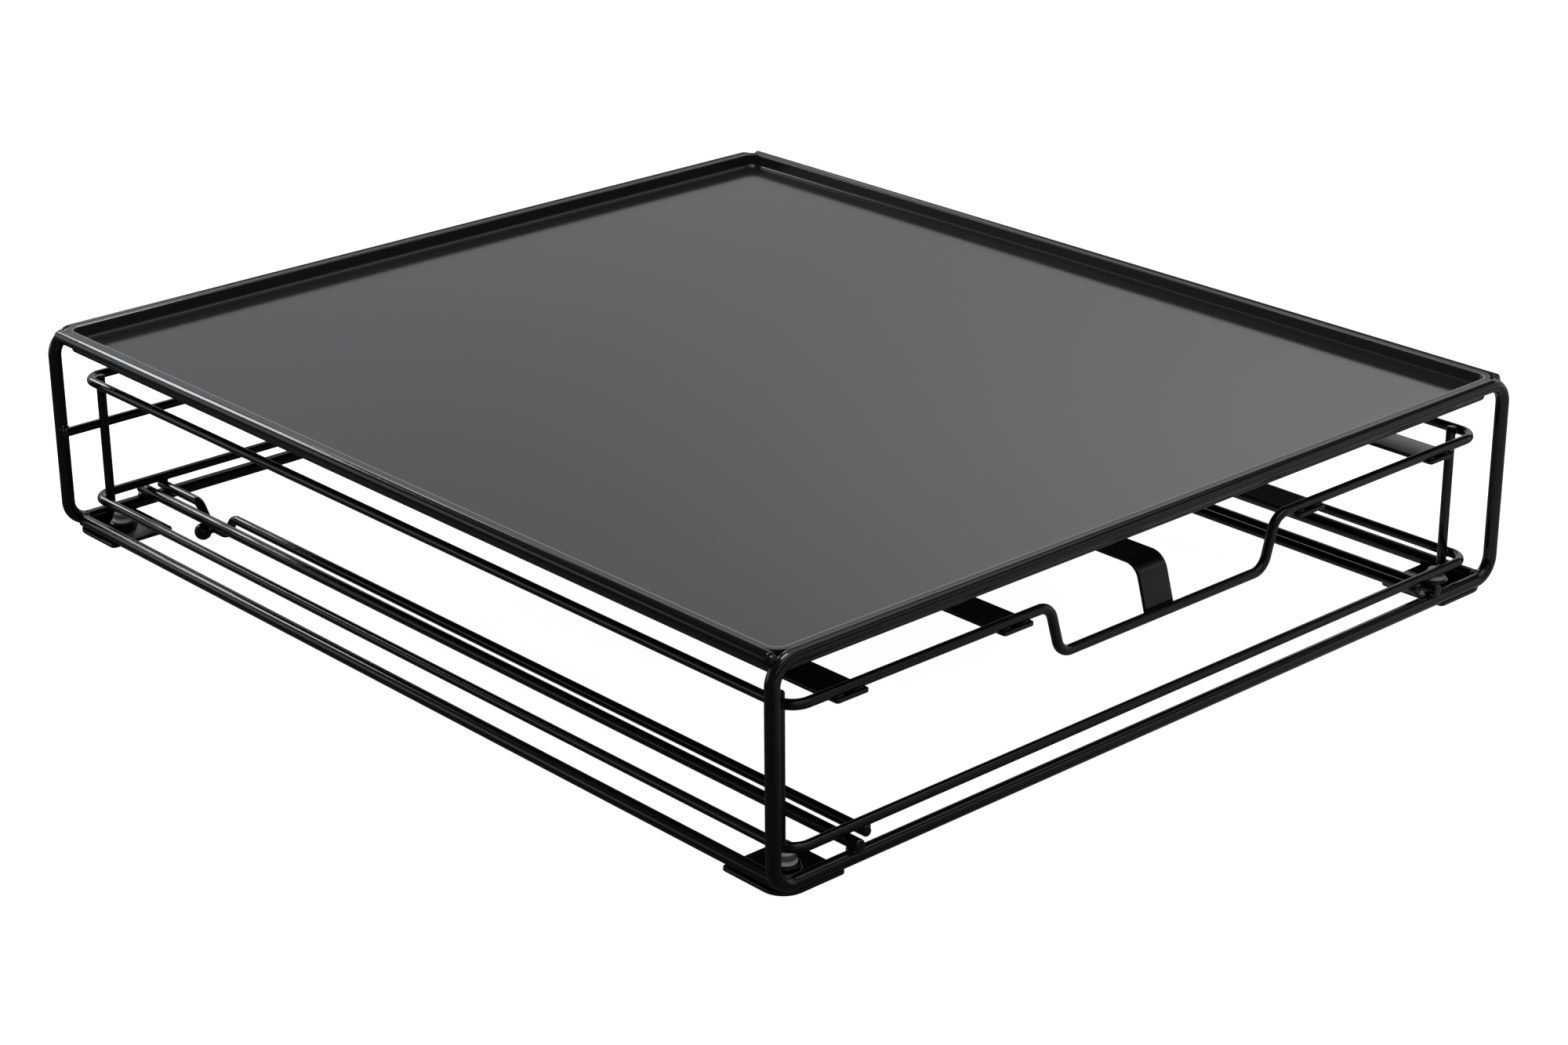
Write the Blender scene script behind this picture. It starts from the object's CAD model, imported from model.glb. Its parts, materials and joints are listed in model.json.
import json
from math import atan2, cos, pi, radians, sin, tan

import bmesh
import bpy
from mathutils import Matrix, Vector


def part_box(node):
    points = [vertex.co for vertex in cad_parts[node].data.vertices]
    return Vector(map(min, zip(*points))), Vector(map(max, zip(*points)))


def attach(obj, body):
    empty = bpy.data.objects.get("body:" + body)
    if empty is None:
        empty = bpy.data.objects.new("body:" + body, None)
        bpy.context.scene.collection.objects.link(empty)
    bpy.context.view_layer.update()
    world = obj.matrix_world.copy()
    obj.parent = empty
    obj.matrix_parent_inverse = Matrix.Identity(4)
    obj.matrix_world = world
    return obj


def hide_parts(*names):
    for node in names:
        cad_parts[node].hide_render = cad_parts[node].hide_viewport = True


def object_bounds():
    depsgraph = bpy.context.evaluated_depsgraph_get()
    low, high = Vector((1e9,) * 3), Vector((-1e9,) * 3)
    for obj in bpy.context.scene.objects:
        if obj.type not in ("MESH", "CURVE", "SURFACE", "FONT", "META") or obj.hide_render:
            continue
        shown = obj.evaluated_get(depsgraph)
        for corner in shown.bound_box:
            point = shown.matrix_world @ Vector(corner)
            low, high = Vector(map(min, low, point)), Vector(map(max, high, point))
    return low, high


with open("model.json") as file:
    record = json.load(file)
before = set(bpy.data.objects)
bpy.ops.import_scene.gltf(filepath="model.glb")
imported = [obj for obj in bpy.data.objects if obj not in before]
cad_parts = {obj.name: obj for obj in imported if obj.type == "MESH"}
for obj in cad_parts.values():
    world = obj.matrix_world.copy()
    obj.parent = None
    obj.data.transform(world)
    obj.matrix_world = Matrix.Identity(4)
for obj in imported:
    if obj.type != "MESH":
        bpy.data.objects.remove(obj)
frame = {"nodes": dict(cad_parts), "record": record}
cad_low, cad_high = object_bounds()

MM = 0.001
RIGHT = Vector((1, 0, 0))
UP = Vector((0, 0, 1))
# Level directions away from the camera and across its view to the right
AWAY, ACROSS = Vector((0.67, 0.74, 0)), Vector((0.74, -0.67, 0))
SIDES = (("left", -1), ("right", 1))
ENDS = (("front", -1), ("rear", 1))


def measure(node):
    """The lowest and highest corner of a node, and the middle of its box."""
    low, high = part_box(node)
    return low, high, (low + high) / 2


# Finishes

class Signal:
    """A socket in a node tree. Python's operators on it add Math nodes."""

    def __init__(self, nodes, socket):
        self.nodes = nodes
        self.socket = socket

    def math(self, operation, first, second):
        return self.nodes.add("ShaderNodeMath", {"operation": operation}, {0: first, 1: second})

    def __add__(self, other):
        return self.math("ADD", self, other)

    __radd__ = __add__

    def __sub__(self, other):
        return self.math("SUBTRACT", self, other)

    def __rsub__(self, other):
        return self.math("SUBTRACT", other, self)

    def __mul__(self, other):
        return self.math("MULTIPLY", self, other)

    __rmul__ = __mul__

    def above(self, level):
        return self.math("GREATER_THAN", self, level)

    def most(self, other):
        return self.math("MAXIMUM", self, other)

    def least(self, other):
        return self.math("MINIMUM", self, other)


class Nodes:
    """The node tree of a material or a world."""

    def __init__(self, owner):
        owner.use_nodes = True
        self.tree = owner.node_tree
        self.tree.nodes.clear()

    def add(self, kind, settings=None, inputs=None, out=0):
        """Adds one node, with its settings first and then the values or links of its sockets."""
        node = self.tree.nodes.new(kind)
        for name, value in (settings or {}).items():
            setattr(node, name, value)
        for name, value in (inputs or {}).items():
            if isinstance(value, Signal):
                self.tree.links.new(value.socket, node.inputs[name])
            else:
                node.inputs[name].default_value = value
        return Signal(self, node.outputs[out]) if len(node.outputs) else node

    def place_on_piece(self):
        """The place of a point in the frame at rest, which stays with the piece when it moves."""
        return self.add("ShaderNodeTexCoord", out="Object")

    def cloud(self, size, detail=2, roughness=0.5, offset=(0, 0, 0)):
        """Soft noise from 0 to 1 whose blotches are about size across."""
        where = self.add("ShaderNodeMapping", {}, {"Vector": self.place_on_piece(), "Location": offset})
        return self.add("ShaderNodeTexNoise", {"noise_dimensions": "3D"}, {
            "Vector": where, "Scale": 1 / size, "Detail": detail, "Roughness": roughness}, out="Fac")

    def specks(self, spacing, size, share, offset=(0, 0, 0)):
        """Small round specks, 1 inside and 0 outside, on a share of the cells that are spacing apart."""
        where = self.add("ShaderNodeMapping", {}, {"Vector": self.place_on_piece(), "Location": offset})
        cell = {"Vector": where, "Scale": 1 / spacing}
        distance = self.add("ShaderNodeTexVoronoi", {"feature": "F1"}, cell, out="Distance")
        tint = self.add("ShaderNodeTexVoronoi", {"feature": "F1"}, cell, out="Color")
        draw = self.add("ShaderNodeSeparateColor", {}, {0: tint})
        edge = self.ramp(distance, size / spacing * 0.5, size / spacing, 1.0, 0.0)
        return edge * (1 - draw.above(share))

    def ramp(self, value, start, stop, low=0.0, high=1.0):
        """An even rise, soft at both its ends, from low at start to high at stop."""
        return self.add("ShaderNodeMapRange", {"interpolation_type": "SMOOTHSTEP"}, {
            "Value": value, "From Min": start, "From Max": stop, "To Min": low, "To Max": high})

    def dot(self, vector, way):
        """How far a vector reaches along a direction."""
        product = {"operation": "DOT_PRODUCT"}
        return self.add("ShaderNodeVectorMath", product, {0: vector, 1: way}, out="Value")

    def mix_shades(self, factor, first, second):
        return self.add("ShaderNodeMix", {"data_type": "RGBA"}, {0: factor, 6: first, 7: second}, out=2)

    def bump(self, height, distance):
        return self.add("ShaderNodeBump", {}, {"Height": height, "Distance": distance, "Strength": 1.0})

    def surface(self, **inputs):
        """The material's surface. An input's name has underscores for spaces."""
        named = {name.replace("_", " "): value for name, value in inputs.items()}
        shader = self.add("ShaderNodeBsdfPrincipled", {}, named)
        self.add("ShaderNodeOutputMaterial", {}, {"Surface": shader})


def shade(red, green, blue):
    return (red, green, blue, 1)


DUST = shade(0.30, 0.30, 0.29)
# How deep the waves of the wires' coat and the scuffs of the plastic are
RELIEF = 0.02 * MM


def coated_steel(name, tone, gloss, peel, dust):
    """Black powder coat: a faint orange peel, softer patches in its gloss, and dust baked into it.

    The peel is its waves' depth in metres, and dust is the share of places that have a speck.
    """
    material = bpy.data.materials.new(name)
    nodes = Nodes(material)
    patches = nodes.cloud(0.035, detail=3)
    grain = nodes.cloud(0.0007, detail=2, offset=(0.3, 0.1, 0.2))
    waves = nodes.cloud(0.0035, detail=2, offset=(0.7, 0.4, 0.1))
    bits = nodes.specks(0.011, 0.00028, dust, offset=(0.05, 0.02, 0.09))
    base = nodes.mix_shades(patches, shade(*tone), shade(*(1.5 * part for part in tone)))
    base = nodes.mix_shades(bits * 0.35, base, DUST)
    roughness = gloss + (patches - 0.5) * 0.08 + (grain - 0.5) * 0.05 + bits * 0.3
    normal = nodes.bump(waves * 0.8 + grain * 0.2 + bits * 1.5, peel)
    nodes.surface(Base_Color=base, Roughness=roughness, Normal=normal)
    return material


def tray_coat(name):
    """The tray's smooth semi-gloss coat, with faint wiping marks and a few specks of dust.

    It is rougher on top of the rim, where it fills the seam, and worn paler on the inner edge of the
    front and left rims. Heights count down from the top of the rim.
    """
    material = bpy.data.materials.new(name)
    nodes = Nodes(material)
    wiped = nodes.add("ShaderNodeMapping", {}, {
        "Vector": nodes.place_on_piece(), "Rotation": (0, 0, radians(24)), "Scale": (1, 5, 1)})
    streaks = nodes.add("ShaderNodeTexNoise", {"noise_dimensions": "3D"}, {
        "Vector": wiped, "Scale": 9.0, "Detail": 4.0, "Roughness": 0.55}, out="Fac")
    patches = nodes.cloud(0.09, detail=4, roughness=0.6)
    grain = nodes.cloud(0.0005, detail=2)
    bits = nodes.specks(0.016, 0.0004, 0.16, offset=(0.02, 0.03, 0.01))
    fibres = nodes.specks(0.030, 0.0007, 0.10, offset=(0.4, 0.3, 0.1))
    marks = streaks * 0.5 + patches * 0.5 - 0.5
    base = nodes.mix_shades(patches, shade(0.011, 0.011, 0.0115), shade(0.016, 0.016, 0.0155))
    base = nodes.mix_shades((bits + fibres).least(1.0) * 0.3, base, DUST)
    height = nodes.dot(nodes.place_on_piece(), UP) - measure("top_tray")[1].z
    worn = nodes.ramp(height, -0.19 * MM, -0.15 * MM) * nodes.ramp(height, -0.10 * MM, -0.13 * MM)
    worn = worn * nodes.ramp(nodes.dot(nodes.place_on_piece(), AWAY), 0.06, 0.03)
    base = nodes.mix_shades(worn * (0.6 + patches * 0.4), base, shade(0.20, 0.20, 0.195))
    seam = nodes.ramp(height, -0.12 * MM, -0.08 * MM)
    roughness = 0.12 + marks * 0.06 + (grain - 0.5) * 0.05 + bits * 0.2 + seam * 0.22
    normal = nodes.bump(grain + bits * 2.0, 0.000012)
    nodes.surface(Base_Color=base, Roughness=roughness, Normal=normal)
    return material


def clear_plastic(name):
    """Translucent white plastic, cloudier in patches, with small scuffs.

    A button's edges gather the light; its wall between them shows the dark bore behind it.
    """
    material = bpy.data.materials.new(name)
    nodes = Nodes(material)
    height = nodes.dot(nodes.place_on_piece(), UP)
    seat, top = measure("corner_plate_front_left")[1].z, measure("foot_front_left")[1].z
    wall = nodes.ramp(height, seat + 0.9 * MM, seat + 1.8 * MM)
    wall = wall * nodes.ramp(height, top - 0.4 * MM, top - 0.8 * MM)
    cloudy = nodes.cloud(0.004, detail=3)
    scuffs = nodes.cloud(0.0009, detail=2)
    milky = nodes.mix_shades(cloudy, shade(0.90, 0.91, 0.92), shade(0.96, 0.965, 0.97))
    base = nodes.mix_shades(wall, milky, shade(0.16, 0.17, 0.18))
    roughness = 0.18 + cloudy * 0.12 + (scuffs - 0.5) * 0.08
    nodes.surface(
        Base_Color=base, Roughness=roughness, Normal=nodes.bump(scuffs, RELIEF),
        IOR=1.45, Transmission_Weight=0.05)
    return material


WIRE_BLACK, SHEET_BLACK = (0.003, 0.003, 0.0032), (0.005, 0.005, 0.0052)
FINISH_OF_SLOT = {
    "stand_wire_coating": coated_steel("stand_wire_coat", WIRE_BLACK, 0.15, RELIEF, 0.10),
    "drawer_wire_coating": coated_steel("drawer_wire_coat", WIRE_BLACK, 0.16, RELIEF, 0.10),
    "sheet_coating": coated_steel("sheet_coat", SHEET_BLACK, 0.20, RELIEF, 0.12),
    "tray_coating": tray_coat("tray_coat"),
    "foot_plastic": clear_plastic("foot_plastic"),
}
SLOT_OF_NODE = {part["node"]: part["material_slot"] for part in frame["record"]["subparts"]}
BODY_OF_NODE = {
    node: body for body, nodes in frame["record"]["behaviour"]["bodies"].items() for node in nodes}

for node, piece in frame["nodes"].items():
    piece.data.materials.clear()
    piece.data.materials.append(FINISH_OF_SLOT[SLOT_OF_NODE[node]])


# Tools for shaping pieces

ROUND = 36
BEND_STEP = radians(6)
CRISP = radians(40)
SAME_POINT = 0.001 * MM
# How far the ends of wires are rounded: the side wires', the drawer's and the rails', the crossbar's
SIDE_TIP, THIN_TIP, BAR_TIP = 0.5 * MM, 0.6 * MM, 1.0 * MM


def begin(add, **where):
    """Adds a primitive alone, with its place in its mesh, and leaves it selected in edit mode."""
    bpy.ops.object.select_all(action="DESELECT")
    add(**where)
    piece = bpy.context.object
    bpy.ops.object.transform_apply(location=True, rotation=True, scale=True)
    bpy.ops.object.mode_set(mode="EDIT")
    bpy.ops.mesh.select_all(action="SELECT")
    return piece


def draw_out(way):
    """In edit mode, extrudes what is selected."""
    bpy.ops.mesh.extrude_region_move(TRANSFORM_OT_translate={"value": way})


def choose(piece, faces=None, edges=None, verts=None):
    """In edit mode, selects just the parts for which the given test holds."""
    kinds = (("FACE", faces), ("EDGE", edges), ("VERT", verts))
    mode, test = next(pair for pair in kinds if pair[1])
    bpy.ops.mesh.select_mode(type=mode)
    bpy.ops.mesh.select_all(action="DESELECT")
    form = bmesh.from_edit_mesh(piece.data)
    parts = {"FACE": form.faces, "EDGE": form.edges, "VERT": form.verts}[mode]
    for part in parts:
        if test(part):
            part.select_set(True)
    form.select_flush_mode()
    bmesh.update_edit_mesh(piece.data)


def close_mesh(piece):
    """Merges doubles, turns the faces outward, leaves edit mode and shades smooth by angle."""
    bpy.ops.mesh.select_mode(type="VERT")
    bpy.ops.mesh.select_all(action="SELECT")
    bpy.ops.mesh.remove_doubles(threshold=SAME_POINT)
    bpy.ops.mesh.normals_make_consistent(inside=False)
    bpy.ops.object.mode_set(mode="OBJECT")
    bpy.ops.object.shade_smooth_by_angle(angle=CRISP)
    return piece


def soften(piece, width):
    """Rounds the sharp edges, as a coat of powder does."""
    bevel = piece.modifiers.new("soft_edges", "BEVEL")
    bevel.width = width
    bevel.segments = 3
    bevel.limit_method = "ANGLE"
    bevel.angle_limit = CRISP
    bevel.use_clamp_overlap = True
    bevel.miter_outer = "MITER_ARC"
    bpy.ops.object.select_all(action="DESELECT")
    piece.select_set(True)
    bpy.context.view_layer.objects.active = piece
    bpy.ops.object.modifier_apply(modifier=bevel.name)
    bpy.ops.object.shade_smooth_by_angle(angle=CRISP)
    return keep_flat(piece)


def keep_flat(piece):
    """Large flat faces keep their own direction where they run into rounded edges."""
    flat = piece.modifiers.new("flat_faces", "WEIGHTED_NORMAL")
    flat.keep_sharp = True
    bpy.ops.object.modifier_apply(modifier=flat.name)
    return piece


def stand_for(piece, name, node):
    """The finished piece takes the place, the body and the finish of a CAD node."""
    piece.name = piece.data.name = name
    piece.data.materials.clear()
    piece.data.materials.append(FINISH_OF_SLOT[SLOT_OF_NODE[node]])
    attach(piece, BODY_OF_NODE[node])
    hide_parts(node)


def plan_route(points, bends, closed=False):
    """The runs between the points, and how much of them each bend takes."""
    points = [Vector(point) for point in points]
    count = len(points)
    legs = count if closed else count - 1
    ways = [(points[(leg + 1) % count] - points[leg]).normalized() for leg in range(legs)]
    bend_of = bends if isinstance(bends, dict) else dict.fromkeys(range(count), bends)
    corners = range(count) if closed else range(1, count - 1)
    trims = {at: bend_of[at] * tan(ways[at - 1].angle(ways[at % legs]) / 2) for at in corners}
    return points, ways, bend_of, trims


def follow(route):
    """Draws the selected section out along each run of a route and spins it round each bend."""
    points, ways, bend_of, trims = route
    for leg, way in enumerate(ways):
        goal = (leg + 1) % len(points)
        draw_out(way * ((points[goal] - points[leg]).length - trims.get(leg, 0) - trims.get(goal, 0)))
        if goal in trims:
            onward = ways[goal % len(ways)]
            axis = way.cross(onward).normalized()
            centre = points[goal] - way * trims[goal] + axis.cross(way) * bend_of[goal]
            turn = way.angle(onward)
            bpy.ops.mesh.spin(steps=max(2, round(turn / BEND_STEP)), angle=-turn, center=centre, axis=axis)


def bend_wire(points, radius, bends, closed=False, tip=0):
    """A wire along the points: a ring of edges that follows their route.

    An open wire's ends are closed and rounded by tip.
    """
    route = plan_route(points, bends, closed)
    points, ways, _, trims = route
    piece = begin(
        bpy.ops.mesh.primitive_circle_add, vertices=ROUND, radius=radius,
        location=points[0] + ways[0] * trims.get(0, 0), rotation=ways[0].to_track_quat("Z", "Y").to_euler())
    follow(route)
    if not closed:
        bpy.ops.mesh.select_mode(type="EDGE")
        bpy.ops.mesh.select_all(action="SELECT")
        bpy.ops.mesh.fill_holes(sides=0)
        choose(piece, edges=lambda edge: any(len(face.verts) == ROUND for face in edge.link_faces))
        bpy.ops.mesh.bevel(offset=tip, offset_pct=0, segments=4, affect="EDGES")
    return close_mesh(piece)


def straight_wire(node, along, tip):
    """A straight wire that fills a node's box along one axis."""
    low, high, middle = measure(node)
    first, last = middle.copy(), middle.copy()
    first[along], last[along] = low[along], high[along]
    across = min(high[axis] - low[axis] for axis in range(3) if axis != along)
    return bend_wire([first, last], across / 2, 0, tip=tip)


def arc(centre, radius, first, last, steps):
    """Points of an arc in the plane of a profile, from one angle to another, in degrees."""
    return [
        (centre[0] + radius * cos(radians(first + (last - first) * step / steps)),
         centre[1] + radius * sin(radians(first + (last - first) * step / steps)))
        for step in range(steps + 1)]


def draw_line(points):
    """A line of edges through the points, left selected in edit mode."""
    piece = begin(bpy.ops.mesh.primitive_circle_add, vertices=3, radius=MM)
    bpy.ops.mesh.delete(type="VERT")
    form = bmesh.from_edit_mesh(piece.data)
    made = [form.verts.new(point) for point in points]
    for first, second in zip(made, made[1:]):
        form.edges.new((first, second))
    bmesh.update_edit_mesh(piece.data)
    bpy.ops.mesh.select_all(action="SELECT")
    return piece


def turn_profile(profile, place, axis, steps=48):
    """A turned piece: a profile of (distance from the axis, height along it), spun all the way round."""
    across = RIGHT if abs(axis.x) < 0.5 else UP
    piece = draw_line([place + across * out + axis * height for out, height in profile])
    bpy.ops.mesh.spin(steps=steps, angle=2 * pi, center=place, axis=axis)
    return close_mesh(piece)


def join(pieces):
    """Makes the pieces one, with the first one's name."""
    bpy.ops.object.select_all(action="DESELECT")
    for piece in pieces:
        piece.select_set(True)
    bpy.context.view_layer.objects.active = pieces[0]
    bpy.ops.object.join()
    return pieces[0]


def bead(x, y, z, size):
    """A small bead of weld in the crease between two wires, under the coat."""
    return close_mesh(begin(
        bpy.ops.mesh.primitive_uv_sphere_add, segments=24, ring_count=12, radius=1,
        location=(x, y, z), scale=size))


def weld(body, beads):
    """The beads of one body, joined."""
    beads = join(beads)
    beads.name = beads.data.name = f"{body}_weld_beads"
    beads.data.materials.append(FINISH_OF_SLOT[f"{body}_wire_coating"])
    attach(beads, body)


# The stand

LOOP_BEND = 7 * MM
TRAY_CORNER, TRAY_SHEET, TRAY_FOLD, TRAY_FLOOR_UP = 4.5 * MM, 1 * MM, 1 * MM, 1.7 * MM
# The coat in the seam between the tray and the wires: its reach and its depth
SEAM_W, SEAM_H = 1.3 * MM, 0.9 * MM

loop_low, loop_high, loop_middle = measure("front_loop")
stand_r = (loop_high.y - loop_low.y) / 2
post_x = loop_high.x - stand_r
low_z, high_z = loop_low.z + stand_r, loop_high.z - stand_r
loop_y = {"front": loop_middle.y, "rear": measure("rear_loop")[2].y}

for end, _ in ENDS:
    y = loop_y[end]
    loop = bend_wire(
        [(-post_x, y, low_z), (post_x, y, low_z), (post_x, y, high_z), (-post_x, y, high_z)],
        stand_r, LOOP_BEND, closed=True)
    stand_for(loop, f"{end}_loop_wire", f"{end}_loop")

for level in ("top", "bottom"):
    for name, _ in SIDES:
        node = f"{level}_side_wire_{name}"
        stand_for(straight_wire(node, 1, SIDE_TIP), f"{node}_straight", node)

stand_for(straight_wire("rear_crossbar", 0, BAR_TIP), "rear_crossbar_wire", "rear_crossbar")
for name, _ in SIDES:
    stand_for(straight_wire(f"rail_{name}", 1, THIN_TIP), f"rail_{name}_wire", f"rail_{name}")


def make_tray():
    """The tray: its rim, drawn out along the sides and spun round the corners, and the floor in it.

    The coat fills the seam between the rim and the wires outside it. The section's points give how far
    in and how high they are from the lower outer edge, from the floor's underside round to its top.
    """
    low, high, _ = measure("top_tray")
    outline = [
        (low.x, low.y, low.z), (high.x, low.y, low.z), (high.x, high.y, low.z), (low.x, high.y, low.z)]
    rise, floor = high.z - low.z, TRAY_FLOOR_UP + TRAY_SHEET
    edge, fold = 0.8 * MM, TRAY_SHEET + TRAY_FOLD
    section = (
        [(TRAY_CORNER, TRAY_FLOOR_UP), (TRAY_SHEET, TRAY_FLOOR_UP)]
        + [(TRAY_SHEET, 0.2 * MM), (TRAY_SHEET - 0.06 * MM, 0.06 * MM), (edge + 0.05 * MM, 0)]
        + arc((edge, edge), edge, 270, 180, 7) + [(0, rise - SEAM_H), (-SEAM_W, rise - SEAM_H)]
        + [(-SEAM_W, rise), (-0.7 * MM, rise - 0.03 * MM), (-0.1 * MM, rise - 0.06 * MM)]
        + [(0.35 * MM, rise - 0.11 * MM), (0.7 * MM, rise - 0.165 * MM)]
        + arc((TRAY_SHEET - 0.2 * MM, rise - 0.38 * MM), 0.2 * MM, 80, 0, 4)
        + arc((fold, floor + TRAY_FOLD), TRAY_FOLD, 180, 270, 8)
        + [(fold + 0.3 * MM, floor), (TRAY_CORNER, floor)])
    tray = draw_line([(low.x + TRAY_CORNER, low.y + inward, low.z + height) for inward, height in section])
    follow(plan_route(outline, TRAY_CORNER, closed=True))
    bpy.ops.mesh.select_all(action="SELECT")
    bpy.ops.mesh.remove_doubles(threshold=SAME_POINT)
    bpy.ops.mesh.fill_holes(sides=0)
    stand_for(keep_flat(close_mesh(tray)), "tray_folded_sheet", "top_tray")


make_tray()

PLATE_NOSE, PLATE_CORNER = 7 * MM, 1.5 * MM
COLLAR_R, COLLAR_H, COLLAR_FOOT = 4.2 * MM, 1.8 * MM, 0.5 * MM
NECK_R = 2.0 * MM
BUTTON_R, BUTTON_EDGE, DOME_R, DENT = 3.3 * MM, 0.4 * MM, 1.6 * MM, 0.35 * MM
PLATE_SOFT, STRIP_SOFT = 0.3 * MM, 0.25 * MM


def make_plate(end, end_side, name, side):
    """A corner plate: a small sheet with rounded corners and a collar pressed up round its hole."""
    node = f"corner_plate_{end}_{name}"
    low, high, middle = measure(node)
    foot_middle = measure(f"foot_{end}_{name}")[2]
    top = high.z - COLLAR_H
    nose = Vector((low.x if side < 0 else high.x, low.y if end_side < 0 else high.y))
    plate = begin(bpy.ops.mesh.primitive_plane_add, size=1, location=(middle.x, middle.y, low.z))
    bpy.ops.transform.resize(
        value=(high.x - low.x, high.y - low.y, 1), center_override=(middle.x, middle.y, low.z))
    choose(plate, verts=lambda vert: (vert.co.xy - nose).length < MM)
    bpy.ops.mesh.bevel(offset=PLATE_NOSE, segments=10, affect="VERTICES")
    choose(plate, verts=lambda vert: (vert.co.xy - nose).length > 1.2 * PLATE_NOSE)
    bpy.ops.mesh.bevel(offset=PLATE_CORNER, segments=5, affect="VERTICES")
    bpy.ops.mesh.select_mode(type="FACE")
    bpy.ops.mesh.select_all(action="SELECT")
    draw_out((0, 0, top - low.z))
    soften(close_mesh(plate), PLATE_SOFT)
    sunk = 0.3 * MM
    profile = (
        [(NECK_R, -sunk), (COLLAR_R + COLLAR_FOOT, -sunk), (COLLAR_R + COLLAR_FOOT, 0)]
        + arc((COLLAR_R + COLLAR_FOOT, COLLAR_FOOT), COLLAR_FOOT, 270, 180, 4)
        + arc((COLLAR_R - COLLAR_FOOT, COLLAR_H - COLLAR_FOOT), COLLAR_FOOT, 0, 90, 4)
        + arc((NECK_R + PLATE_SOFT, COLLAR_H - PLATE_SOFT), PLATE_SOFT, 90, 180, 3)
        + [(NECK_R, -sunk)])
    collar = turn_profile(profile, Vector((foot_middle.x, foot_middle.y, top)), UP)
    stand_for(join([plate, collar]), f"{node}_pressed", node)


def make_foot(end, name):
    """A foot of soft clear plastic: a pad below, a neck in the plate and a domed button above."""
    node = f"foot_{end}_{name}"
    low, high, middle = measure(node)
    plate_low, plate_high, _ = measure(f"corner_plate_{end}_{name}")
    pad_r, pad_h = (high.x - low.x) / 2, plate_low.z - low.z
    seat, top = plate_high.z - low.z, high.z - low.z
    round_r, chamfer = 0.5 * MM, 0.2 * MM
    profile = (
        [(0, 0)] + arc((pad_r - round_r, round_r), round_r, 270, 360, 5)
        + [(pad_r, pad_h - chamfer), (pad_r - chamfer, pad_h), (NECK_R, pad_h), (NECK_R, seat)]
        + arc((BUTTON_R - BUTTON_EDGE, seat + BUTTON_EDGE), BUTTON_EDGE, 270, 410, 8)
        + arc((BUTTON_R - 2.0 * MM, top - 1.7 * MM), DOME_R, 0, 80, 10)
        + [(1.1 * MM, top), (0.8 * MM, top - DENT * 0.7), (0.4 * MM, top - DENT), (0, top - DENT)])
    foot = turn_profile(profile, Vector((middle.x, middle.y, low.z)), UP)
    stand_for(foot, f"{node}_moulded", node)


for end, end_side in ENDS:
    for name, side in SIDES:
        make_plate(end, end_side, name, side)
        make_foot(end, name)

# Half sizes of the stand's weld beads along X, Y and Z
BAR_BEAD = (2.0 * MM, 1.1 * MM, 2.1 * MM)
RAIL_BEAD = (2.4 * MM, 2.4 * MM, 1.1 * MM)
SIDE_BEAD = (2.0 * MM, 1.5 * MM, 2.0 * MM)
WELD_DEPTH = 0.1 * MM

_, bar_high, bar_middle = measure("rear_crossbar")
beads = []
for name, side in SIDES:
    rail_low, _, rail_middle = measure(f"rail_{name}")
    beads.append(bead(side * post_x, bar_high.y, bar_middle.z, BAR_BEAD))
    for end, end_side in ENDS:
        beads.append(bead(rail_middle.x, loop_y[end], rail_low.z + WELD_DEPTH, RAIL_BEAD))
        for level, z in (("top", high_z - 0.6 * MM), ("bottom", low_z + 0.5 * MM)):
            _, wire_high, wire_middle = measure(f"{level}_side_wire_{name}")
            x, y = wire_middle.x - side * 0.5 * MM, end_side * (wire_high.y - WELD_DEPTH)
            beads.append(bead(x, y, z, SIDE_BEAD))
weld("stand", beads)


# The drawer

RIM_BEND = 6 * MM
DIP_W, DIP_BEND = 94 * MM, 5.5 * MM
STOP_DIP_HALF, STOP_DIP_BEND = 5 * MM, 4 * MM
STRIP_NOSE, STRIP_BEND = 1 * MM, 6 * MM
# Slopes of the dips' sides: how far they run for how far they rise
DIP_RUN, DIP_RISE = 7, 24
STOP_DIP_RUN, STOP_DIP_RISE = 3, 4
# The middle strip's leg leans forward: the share of its length that goes forward and down
LEAN_OUT, LEAN_DOWN = 0.28, 0.96
PIN_R, PIN_FILLET = 1.5 * MM, 0.35 * MM

rim_low, rim_high, _ = measure("drawer_top_rim")
base_low, base_high, _ = measure("drawer_bottom_rim")
drawer_r = (base_high.z - base_low.z) / 2
rim_x = rim_high.x - drawer_r
rim_front, rim_rear = rim_low.y + drawer_r, rim_high.y - drawer_r
rim_z, dip_z, base_z = rim_high.z - drawer_r, rim_low.z + drawer_r, base_low.z + drawer_r
dip_foot = DIP_W / 2 - (rim_z - dip_z) * DIP_RUN / DIP_RISE

top_rim = bend_wire([
    (-rim_x, rim_front, rim_z), (-DIP_W / 2, rim_front, rim_z), (-dip_foot, rim_front, dip_z),
    (dip_foot, rim_front, dip_z), (DIP_W / 2, rim_front, rim_z), (rim_x, rim_front, rim_z),
    (rim_x, rim_rear, rim_z), (-rim_x, rim_rear, rim_z)
], drawer_r, {0: RIM_BEND, 1: DIP_BEND, 2: DIP_BEND, 3: DIP_BEND, 4: DIP_BEND,
              5: RIM_BEND, 6: RIM_BEND, 7: RIM_BEND}, closed=True)
stand_for(top_rim, "drawer_top_rim_with_handle", "drawer_top_rim")
bottom_rim = bend_wire([
    (-rim_x, rim_front, base_z), (rim_x, rim_front, base_z), (rim_x, rim_rear, base_z),
    (-rim_x, rim_rear, base_z)], drawer_r, RIM_BEND, closed=True)
stand_for(bottom_rim, "drawer_bottom_rim_wire", "drawer_bottom_rim")

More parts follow.
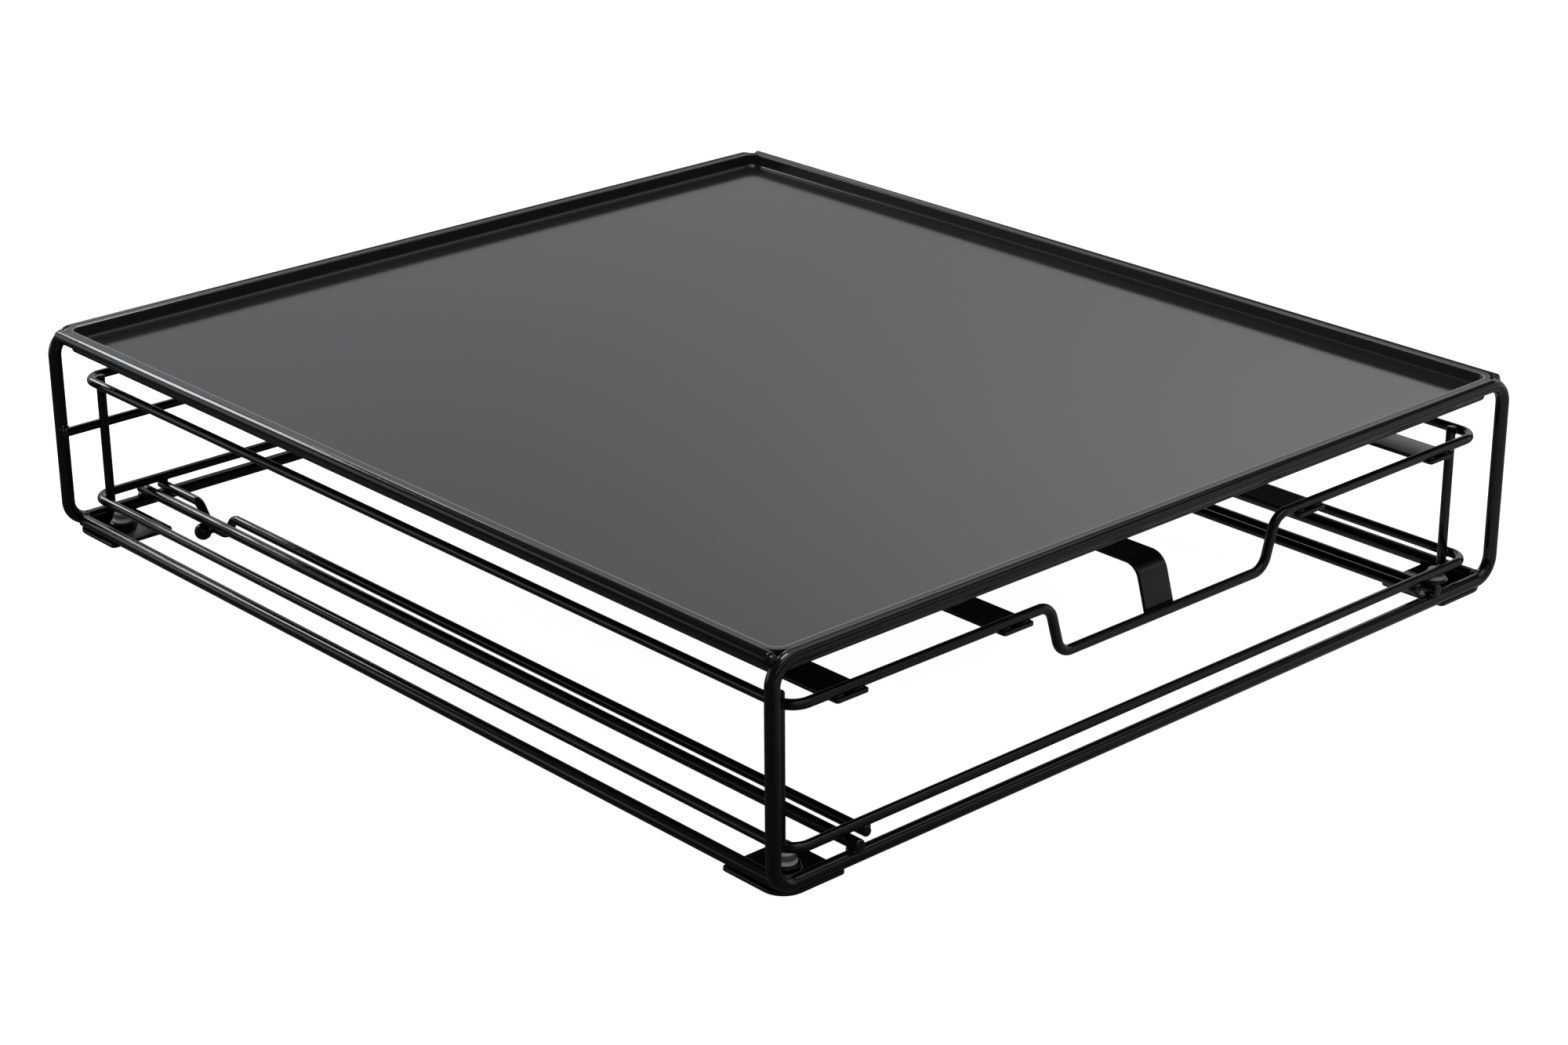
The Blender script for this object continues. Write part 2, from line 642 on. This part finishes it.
for end, _ in ENDS:
    for name, _ in SIDES:
        node = f"drawer_post_{end}_{name}"
        stand_for(straight_wire(node, 2, THIN_TIP), f"{node}_wire", node)


def make_runner(name):
    """A runner: a wire under the lower rim with a dip round the middle of its stop pin."""
    low, high, middle = measure(f"runner_{name}")
    pin_y = measure(f"stop_pin_{name}")[2].y
    level, bottom = high.z - drawer_r, low.z + drawer_r
    reach = STOP_DIP_HALF + (level - bottom) * STOP_DIP_RUN / STOP_DIP_RISE
    route = [
        (low.y, level), (pin_y - reach, level), (pin_y - STOP_DIP_HALF, bottom),
        (pin_y + STOP_DIP_HALF, bottom), (pin_y + reach, level), (high.y, level)]
    runner = bend_wire([(middle.x, y, z) for y, z in route], drawer_r, STOP_DIP_BEND, tip=THIN_TIP)
    stand_for(runner, f"runner_{name}_wire", f"runner_{name}")


def make_stop_pin(name, side):
    """A stop pin from the middle of its runner outward, run with a fillet into the ball at its end."""
    low, high, middle = measure(f"stop_pin_{name}")
    ball_r = (high.z - low.z) / 2
    ball_x = (high.x if side > 0 else low.x) - side * ball_r
    neck_r = PIN_R + PIN_FILLET
    neck_at = -(ball_r ** 2 - neck_r ** 2) ** 0.5
    start = -abs(ball_x - measure(f"runner_{name}")[2].x)
    profile = [
        (0, start), (PIN_R, start), (PIN_R, neck_at - 0.6 * MM), (PIN_R + 0.1 * MM, neck_at - 0.25 * MM)]
    profile += arc((0, 0), ball_r, -90 + 180 / pi * atan2(neck_r, -neck_at), 90, 18)
    profile[-1] = (0, ball_r)
    pin = turn_profile(profile, Vector((ball_x, middle.y, middle.z)), RIGHT * side)
    stand_for(pin, f"stop_pin_{name}_with_ball", f"stop_pin_{name}")


for name, side in SIDES:
    make_runner(name)
    make_stop_pin(name, side)


def flat_strip(low, high, noses):
    """A flat strip between two corners, with its ends rounded at the given places along Y."""
    middle = (low + high) / 2
    strip = begin(bpy.ops.mesh.primitive_plane_add, size=1, location=(middle.x, middle.y, low.z))
    bpy.ops.transform.resize(
        value=(high.x - low.x, high.y - low.y, 1), center_override=(middle.x, middle.y, low.z))
    choose(strip, verts=lambda vert: any(abs(vert.co.y - nose) < MM for nose in noses))
    bpy.ops.mesh.bevel(offset=STRIP_NOSE, segments=7, affect="VERTICES")
    bpy.ops.mesh.select_mode(type="FACE")
    bpy.ops.mesh.select_all(action="SELECT")
    draw_out((0, 0, high.z - low.z))
    return strip


for number in (1, 2, 4, 5):
    node = f"capsule_strip_{number}"
    low, high, _ = measure(node)
    strip = close_mesh(flat_strip(low, high, (low.y, high.y)))
    stand_for(soften(strip, STRIP_SOFT), f"{node}_flat", node)


def make_middle_strip():
    """The middle strip bends down behind the handle and leans forward on to it."""
    low, high, middle = measure("capsule_strip_middle")
    flat_low, flat_high, _ = measure("capsule_strip_1")
    sheet, sunk, past_rim = flat_high.z - flat_low.z, 0.2 * MM, 1.0 * MM
    centre_z = high.z - STRIP_BEND
    drop = centre_z - dip_z
    centre_y = rim_front + (STRIP_BEND + drawer_r - sunk + drop * LEAN_OUT) / LEAN_DOWN
    strip = flat_strip(Vector((low.x, centre_y, high.z - sheet)), high, (high.y,))
    choose(strip, faces=lambda face: face.normal.y < -0.9 or all(
        abs(vert.co.y - centre_y) < 0.01 * MM for vert in face.verts))
    turn = pi / 2 - atan2(LEAN_OUT, LEAN_DOWN)
    bpy.ops.mesh.spin(steps=12, angle=-turn, center=(middle.x, centre_y, centre_z), axis=RIGHT)
    leg = (centre_y - rim_front) * LEAN_OUT + drop * LEAN_DOWN + past_rim
    draw_out(Vector((0, -LEAN_OUT, -LEAN_DOWN)) * leg)
    stand_for(soften(close_mesh(strip), STRIP_SOFT), "capsule_strip_middle_bent", "capsule_strip_middle")


make_middle_strip()

# Half sizes of the drawer's weld beads along X, Y and Z
POST_BEAD = (0.9 * MM, 1.9 * MM, 1.4 * MM)
RUNNER_BEAD = (1.8 * MM, 1.8 * MM, 0.9 * MM)
STRIP_BEAD = (2.0 * MM, 1.3 * MM, 0.6 * MM)

beads = []
for name, side in SIDES:
    runner_x = measure(f"runner_{name}")[2].x
    for end, rim_y in (("front", rim_front), ("rear", rim_rear)):
        post = measure(f"drawer_post_{end}_{name}")[2]
        for z in (rim_z, base_z):
            beads.append(bead((post.x + side * rim_x) / 2, post.y, z, POST_BEAD))
        beads.append(bead(runner_x, rim_y, base_z - drawer_r + WELD_DEPTH, RUNNER_BEAD))
for number in (1, 2, "middle", 4, 5):
    low, high, middle = measure(f"capsule_strip_{number}")
    for rim_y in (rim_front, rim_rear) if number != "middle" else (rim_rear,):
        for out in (-1, 1):
            x = middle.x + out * (high.x - low.x) * 0.3
            beads.append(bead(x, rim_y, high.z - WELD_DEPTH, STRIP_BEAD))
weld("drawer", beads)


# Stage

LAMP_TARGET = Vector((0, 0, 0.04))
TABLE_SIZE, TABLE_GAP = 30, 0.02 * MM
# The camera's azimuth, elevation and roll in degrees, its place in metres, its sensor and lens in mm
CAMERA_ANGLES = (42.2484, 22.3603, -0.3144)
CAMERA_PLACE = (-0.653665, -0.729272, 0.416723)
SENSOR_W, LENS = 36, 76.717


def softbox(name, place, size, power, tint):
    """A soft rectangular lamp that points at the object's middle."""
    bpy.ops.object.light_add(type="AREA", location=place)
    lamp = bpy.context.object
    lamp.name = name
    lamp.rotation_euler = (LAMP_TARGET - lamp.location).to_track_quat("-Z", "Y").to_euler()
    lamp.data.shape = "RECTANGLE"
    lamp.data.size, lamp.data.size_y = size
    lamp.data.energy = power
    lamp.data.color = tint
    lamp.visible_camera = False


def ray_kinds(nodes):
    """Whether a ray comes straight from the camera, and whether it is mirrored or refracted."""
    path = nodes.tree.nodes.new("ShaderNodeLightPath")
    kinds = ("Is Camera Ray", "Is Glossy Ray", "Is Transmission Ray")
    seen, glossy, through = (Signal(nodes, path.outputs[kind]) for kind in kinds)
    return seen, glossy.most(through)


def make_world():
    """A dark room, which reflections show with a pale backdrop low behind the object.

    They also show a pale wall at each side and a pale patch high on the right. The camera sees white.
    """
    world = bpy.data.worlds.new("studio")
    bpy.context.scene.world = world
    nodes = Nodes(world)
    seen, mirrored = ray_kinds(nodes)
    direction = nodes.add("ShaderNodeTexCoord", out="Generated")
    behind = nodes.dot(direction, AWAY)
    across = nodes.dot(direction, ACROSS)
    height = nodes.dot(direction, UP)
    backdrop = nodes.ramp(behind, 0.1, 0.9, 0.0, 0.55)
    backdrop = backdrop + nodes.ramp(across, -0.12, 0.22, 0.0, 0.58) * nodes.ramp(height, 0.28, 0.38)
    left_wall = nodes.ramp(across, -0.75, -0.93) * nodes.ramp(behind, -0.3, 0.0)
    left_wall = left_wall * nodes.ramp(height, 0.42, 0.25)
    right_wall = nodes.ramp(across, 0.8, 0.97) * nodes.ramp(behind, -0.14, -0.02)
    right_wall = right_wall * nodes.ramp(height, 0.35, 0.2)
    upper_right = nodes.ramp(height, 0.66, 0.78) * nodes.ramp(across, -0.1, 0.2)
    level = backdrop * nodes.ramp(height, 0.42, 0.56, 1.0, 0.0)
    level = level + left_wall * 0.75 + right_wall * 0.45 + upper_right * 0.9 + 0.05
    warmth = nodes.ramp(across, -0.35, 0.35)
    tint = nodes.mix_shades(warmth, shade(0.94, 0.96, 1.0), shade(1.0, 1.0, 0.93))
    room = nodes.add("ShaderNodeBackground", {}, {"Color": shade(0.95, 0.97, 1.0), "Strength": 0.4})
    reflected = nodes.add("ShaderNodeBackground", {}, {"Color": tint, "Strength": level})
    white = nodes.add("ShaderNodeBackground", {}, {"Color": shade(1, 1, 1), "Strength": 1.0})
    light = nodes.add("ShaderNodeMixShader", {}, {0: mirrored, 1: room, 2: reflected})
    light = nodes.add("ShaderNodeMixShader", {}, {0: seen, 1: light, 2: white})
    nodes.add("ShaderNodeOutputWorld", {}, {"Surface": light})


def make_floor():
    """A wide pale table top that takes the object's shadow. In reflections it is dark near the object."""
    bpy.ops.mesh.primitive_plane_add(size=TABLE_SIZE, location=(0, 0, cad_low.z - TABLE_GAP))
    floor = bpy.context.object
    floor.name = "table_top"
    material = bpy.data.materials.new("pale_table")
    nodes = Nodes(material)
    seen, mirrored = ray_kinds(nodes)
    place = nodes.place_on_piece()
    far = nodes.add("ShaderNodeVectorMath", {"operation": "LENGTH"}, {0: place}, out="Value")
    level = nodes.ramp(far, 0.4, 1.2) * nodes.ramp(nodes.dot(place, AWAY), -0.4, 0.05) * 0.45
    level = level + nodes.ramp(nodes.dot(place, ACROSS), 0.0, 0.25, 0.0, 0.25) + 0.05
    matt = nodes.add("ShaderNodeBsdfDiffuse", {}, {"Color": shade(0.55, 0.55, 0.55)})
    lift = nodes.add("ShaderNodeEmission", {}, {"Color": shade(1, 1, 1), "Strength": seen * 0.96})
    pale = nodes.add("ShaderNodeAddShader", {}, {0: matt, 1: lift})
    dark = nodes.add("ShaderNodeEmission", {}, {"Color": shade(1, 1, 1), "Strength": level})
    both = nodes.add("ShaderNodeMixShader", {}, {0: mirrored, 1: pale, 2: dark})
    nodes.add("ShaderNodeOutputMaterial", {}, {"Surface": both})
    floor.data.materials.append(material)


def make_camera():
    """The camera stands where the photograph was taken from."""
    azimuth, elevation, roll = (radians(angle) for angle in CAMERA_ANGLES)
    forward = Vector((sin(azimuth) * cos(elevation), cos(azimuth) * cos(elevation), -sin(elevation)))
    level = Vector((cos(azimuth), -sin(azimuth), 0))
    over = level.cross(forward)
    right = cos(roll) * level + sin(roll) * over
    top = cos(roll) * over - sin(roll) * level
    bpy.ops.object.camera_add(location=CAMERA_PLACE)
    camera = bpy.context.object
    camera.name = "photo_camera"
    camera.rotation_euler = Matrix((right, top, -forward)).transposed().to_euler()
    camera.data.sensor_width, camera.data.lens = SENSOR_W, LENS
    camera.data.clip_start, camera.data.clip_end = 0.01, 60
    bpy.context.scene.camera = camera


make_world()
make_floor()
make_camera()
softbox("left_rear_softbox", (-0.20, 1.15, 0.73), (0.5, 0.36), 4.5, (0.94, 0.97, 1.0))
softbox("right_rear_softbox", (0.45, 1.15, 0.95), (0.3, 0.3), 1.2, (1.0, 1.0, 0.97))
softbox("overhead_softbox", (-0.1, 0.0, 1.7), (0.7, 0.7), 12, (1.0, 1.0, 1.0))
bpy.context.scene.view_settings.view_transform = "Standard"
